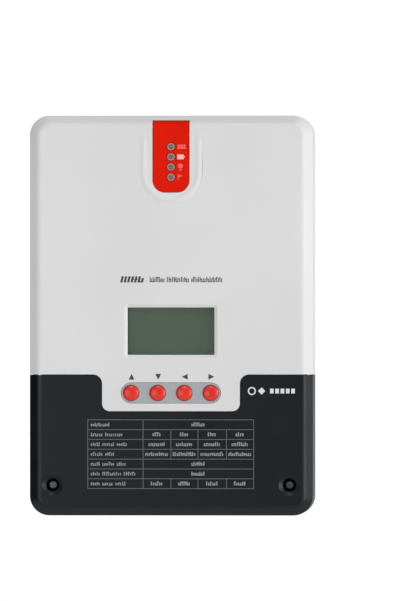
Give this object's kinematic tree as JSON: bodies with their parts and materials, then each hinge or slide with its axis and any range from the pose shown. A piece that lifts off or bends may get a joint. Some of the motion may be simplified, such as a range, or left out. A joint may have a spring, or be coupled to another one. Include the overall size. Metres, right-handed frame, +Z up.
{
  "type": "solar charge controller",
  "caption": "Wall-mounted solar charge controller with a finned back, a display, round keys, indicator lamps and a lift-off cover over its wiring terminals.",
  "frame": {"origin": "middle of the flat back that lies against the wall", "axes": "+X right seen from the front, +Z up, +Y into the wall; the front looks along -Y"},
  "size_m": [0.203, 0.102, 0.2866],
  "materials": {
    "sink_aluminium": "extruded, clear anodised satin",
    "gasket_rubber": "matt",
    "shell_white": "fine moulded texture, white-grey",
    "cover_dark": "fine moulded texture, charcoal",
    "tongue_red": "gloss red",
    "lamp_grey": "smoky diffused lamp",
    "window_clear": "clear hard-coated",
    "display_glass": "grey-green display",
    "frame_dark": "matt black",
    "strip_grey": "satin grey",
    "key_red": "gloss red",
    "switch_black": "matt black",
    "circuit_board": "green solder mask",
    "nylon": "natural nylon",
    "terminal_housing": "dark glass-filled plastic",
    "cage_steel": "zinc plated",
    "screw_steel": "zinc plated",
    "port_black": "matt black",
    "port_green": "satin green",
    "copper_winding": "enamelled copper",
    "capacitor_sleeve": "shrink sleeve",
    "transistor_black": "moulded epoxy",
    "clamp_steel": "sheet steel",
    "ribbon_grey": "grey ribbon",
    "cover_screw_steel": "zinc plated",
    "shell_screw_steel": "zinc plated"
  },
  "bodies": {
    "root": {"heatsink": "sink_aluminium", "shell_gasket": "gasket_rubber", "front_shell": "shell_white", "cable_plate": "cover_dark", "led_panel": "tongue_red", "led_solar": "lamp_grey", "led_battery": "lamp_grey", "led_load": "lamp_grey", "led_fault": "lamp_grey", "lcd_window": "window_clear", "lcd_panel": "display_glass", "lcd_frame": "frame_dark", "keypad_bezel": "strip_grey", "key_switch_up": "switch_black", "key_switch_down": "switch_black", "key_switch_left": "switch_black", "key_switch_right": "switch_black", "display_board": "circuit_board", "main_board": "circuit_board", "board_standoff_1": "nylon", "board_standoff_2": "nylon", "board_standoff_3": "nylon", "board_standoff_4": "nylon", "terminal_block": "terminal_housing", "comm_port": "port_black", "sensor_port": "port_green", "inductor_1": "copper_winding", "inductor_2": "copper_winding", "capacitor_1": "capacitor_sleeve", "capacitor_2": "capacitor_sleeve", "capacitor_3": "capacitor_sleeve", "power_transistor_1": "transistor_black", "power_transistor_2": "transistor_black", "power_transistor_3": "transistor_black", "power_transistor_4": "transistor_black", "transistor_clamp": "clamp_steel", "ribbon_cable": "ribbon_grey", "shell_screw_1": "shell_screw_steel", "shell_screw_2": "shell_screw_steel", "shell_screw_3": "shell_screw_steel", "shell_screw_4": "shell_screw_steel"},
    "terminal_cover": {"terminal_cover": "cover_dark", "cover_screw_left": "cover_screw_steel", "cover_screw_right": "cover_screw_steel"},
    "button_up": {"button_up": "key_red"},
    "button_down": {"button_down": "key_red"},
    "button_left": {"button_left": "key_red"},
    "button_right": {"button_right": "key_red"},
    "terminal_screw_1": {"terminal_screw_1": "screw_steel"},
    "terminal_cage_1": {"terminal_cage_1": "cage_steel"},
    "terminal_screw_2": {"terminal_screw_2": "screw_steel"},
    "terminal_cage_2": {"terminal_cage_2": "cage_steel"},
    "terminal_screw_3": {"terminal_screw_3": "screw_steel"},
    "terminal_cage_3": {"terminal_cage_3": "cage_steel"},
    "terminal_screw_4": {"terminal_screw_4": "screw_steel"},
    "terminal_cage_4": {"terminal_cage_4": "cage_steel"},
    "terminal_screw_5": {"terminal_screw_5": "screw_steel"},
    "terminal_cage_5": {"terminal_cage_5": "cage_steel"},
    "terminal_screw_6": {"terminal_screw_6": "screw_steel"},
    "terminal_cage_6": {"terminal_cage_6": "cage_steel"}
  },
  "joints": [
    {"name": "key_up_press", "type": "slide", "parent": "root", "child": "button_up", "axis": [0, 1, 0], "range_m": [0, 0.0008], "stiffness_N_per_m": 1200},
    {"name": "key_down_press", "type": "slide", "parent": "root", "child": "button_down", "axis": [0, 1, 0], "range_m": [0, 0.0008], "stiffness_N_per_m": 1200},
    {"name": "key_left_press", "type": "slide", "parent": "root", "child": "button_left", "axis": [0, 1, 0], "range_m": [0, 0.0008], "stiffness_N_per_m": 1200},
    {"name": "key_right_press", "type": "slide", "parent": "root", "child": "button_right", "axis": [0, 1, 0], "range_m": [0, 0.0008], "stiffness_N_per_m": 1200},
    {"name": "terminal_screw_1_turn", "type": "hinge", "parent": "root", "child": "terminal_screw_1", "pos_m": [-0.04, -0.075, -0.092], "axis": [0, 1, 0], "range_deg": [0, 2520]},
    {"name": "terminal_cage_1_lift", "type": "slide", "parent": "root", "child": "terminal_cage_1", "axis": [0, -1, 0], "range_m": [0, 0.007]},
    {"name": "terminal_screw_2_turn", "type": "hinge", "parent": "root", "child": "terminal_screw_2", "pos_m": [-0.02, -0.075, -0.092], "axis": [0, 1, 0], "range_deg": [0, 2520]},
    {"name": "terminal_cage_2_lift", "type": "slide", "parent": "root", "child": "terminal_cage_2", "axis": [0, -1, 0], "range_m": [0, 0.007]},
    {"name": "terminal_screw_3_turn", "type": "hinge", "parent": "root", "child": "terminal_screw_3", "pos_m": [0, -0.075, -0.092], "axis": [0, 1, 0], "range_deg": [0, 2520]},
    {"name": "terminal_cage_3_lift", "type": "slide", "parent": "root", "child": "terminal_cage_3", "axis": [0, -1, 0], "range_m": [0, 0.007]},
    {"name": "terminal_screw_4_turn", "type": "hinge", "parent": "root", "child": "terminal_screw_4", "pos_m": [0.02, -0.075, -0.092], "axis": [0, 1, 0], "range_deg": [0, 2520]},
    {"name": "terminal_cage_4_lift", "type": "slide", "parent": "root", "child": "terminal_cage_4", "axis": [0, -1, 0], "range_m": [0, 0.007]},
    {"name": "terminal_screw_5_turn", "type": "hinge", "parent": "root", "child": "terminal_screw_5", "pos_m": [0.04, -0.075, -0.092], "axis": [0, 1, 0], "range_deg": [0, 2520]},
    {"name": "terminal_cage_5_lift", "type": "slide", "parent": "root", "child": "terminal_cage_5", "axis": [0, -1, 0], "range_m": [0, 0.007]},
    {"name": "terminal_screw_6_turn", "type": "hinge", "parent": "root", "child": "terminal_screw_6", "pos_m": [0.06, -0.075, -0.092], "axis": [0, 1, 0], "range_deg": [0, 2520]},
    {"name": "terminal_cage_6_lift", "type": "slide", "parent": "root", "child": "terminal_cage_6", "axis": [0, -1, 0], "range_m": [0, 0.007]},
    {"name": "terminal_cover_lift_off", "type": "slide", "parent": "root", "child": "terminal_cover", "axis": [0, -1, 0], "range_m": [0, 0.09]}
  ],
  "couplings": [
    {"joint": "terminal_screw_1_turn", "follows": "terminal_cage_1_lift", "rad_per_m": 6283},
    {"joint": "terminal_screw_2_turn", "follows": "terminal_cage_2_lift", "rad_per_m": 6283},
    {"joint": "terminal_screw_3_turn", "follows": "terminal_cage_3_lift", "rad_per_m": 6283},
    {"joint": "terminal_screw_4_turn", "follows": "terminal_cage_4_lift", "rad_per_m": 6283},
    {"joint": "terminal_screw_5_turn", "follows": "terminal_cage_5_lift", "rad_per_m": 6283},
    {"joint": "terminal_screw_6_turn", "follows": "terminal_cage_6_lift", "rad_per_m": 6283}
  ]
}
